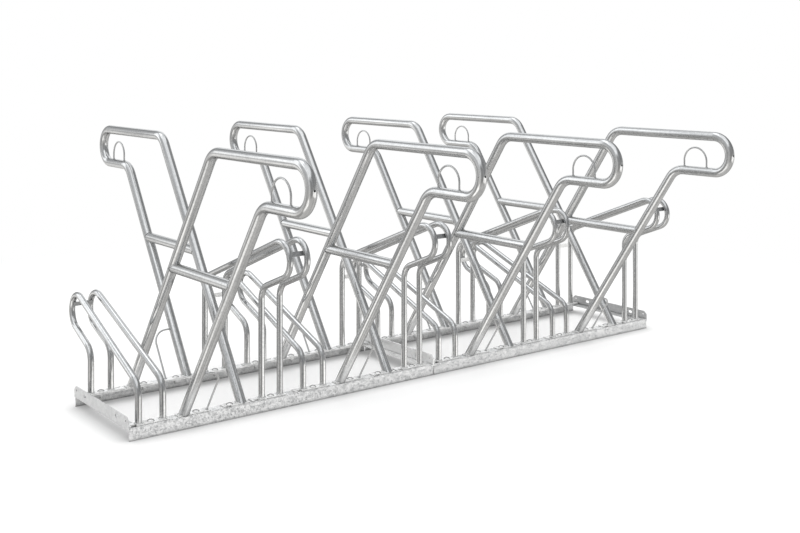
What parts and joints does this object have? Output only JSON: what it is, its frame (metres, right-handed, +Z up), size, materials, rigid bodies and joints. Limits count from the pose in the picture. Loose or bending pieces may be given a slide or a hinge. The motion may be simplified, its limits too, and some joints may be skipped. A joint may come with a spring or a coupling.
{
  "type": "two tier bike rack",
  "caption": "Floor standing two tier bicycle rack: hoop wheel holders at two heights and leaning tube frames with lock eyes, bolted to a pair of angle rails.",
  "frame": {"origin": "on the floor, under the middle of the rack", "axes": "+X along the rails, +Y to the back, where the low holders' noses point, +Z up"},
  "size_m": [3, 2.3998, 1.1292],
  "materials": {
    "rail_steel": "hot-dip galvanised, pale soft spangle",
    "member_steel": "hot-dip galvanised, pale soft spangle",
    "plate_steel": "hot-dip galvanised",
    "frame_steel": "galvanised tube, lengthwise streaks",
    "holder_steel": "galvanised tube, lengthwise streaks",
    "rod_steel": "galvanised rod",
    "strap_steel": "galvanised flat bar, dull",
    "cup_steel": "zinc plated, bright",
    "fastener_steel": "zinc plated"
  },
  "bodies": {
    "root": {"back_crossbar_1": "frame_steel", "back_crossbar_2": "frame_steel", "back_crossbar_3": "frame_steel", "back_crossbar_4": "frame_steel", "back_frame_1": "frame_steel", "back_frame_2": "frame_steel", "back_frame_3": "frame_steel", "back_frame_4": "frame_steel", "back_lock_eye_1": "rod_steel", "back_lock_eye_2": "rod_steel", "back_lock_eye_3": "rod_steel", "back_lock_eye_4": "rod_steel", "back_lock_rods": "rod_steel", "back_rail_left": "rail_steel", "back_rail_right": "rail_steel", "cup_bolts": "cup_steel", "foot_nuts": "fastener_steel", "foot_washers": "fastener_steel", "frame_foot_plates": "plate_steel", "front_crossbar_1": "frame_steel", "front_crossbar_2": "frame_steel", "front_crossbar_3": "frame_steel", "front_crossbar_4": "frame_steel", "front_frame_1": "frame_steel", "front_frame_2": "frame_steel", "front_frame_3": "frame_steel", "front_frame_4": "frame_steel", "front_lock_eye_1": "rod_steel", "front_lock_eye_2": "rod_steel", "front_lock_eye_3": "rod_steel", "front_lock_eye_4": "rod_steel", "front_lock_rods": "rod_steel", "front_rail_left": "rail_steel", "front_rail_right": "rail_steel", "high_holder_1_left_bar": "holder_steel", "high_holder_1_right_bar": "holder_steel", "high_holder_2_left_bar": "holder_steel", "high_holder_2_right_bar": "holder_steel", "high_holder_3_left_bar": "holder_steel", "high_holder_3_right_bar": "holder_steel", "high_holder_4_left_bar": "holder_steel", "high_holder_4_right_bar": "holder_steel", "holder_foot_plates": "plate_steel", "joint_bolts": "fastener_steel", "joint_nuts": "fastener_steel", "joint_washers": "fastener_steel", "left_end_member": "member_steel", "left_middle_member": "member_steel", "leg_straps": "strap_steel", "low_holder_1_left_bar": "holder_steel", "low_holder_1_right_bar": "holder_steel", "low_holder_2_left_bar": "holder_steel", "low_holder_2_right_bar": "holder_steel", "low_holder_3_left_bar": "holder_steel", "low_holder_3_right_bar": "holder_steel", "low_holder_4_left_bar": "holder_steel", "low_holder_4_right_bar": "holder_steel", "nose_straps": "strap_steel", "right_end_member": "member_steel", "right_middle_member": "member_steel"}
  },
  "joints": []
}
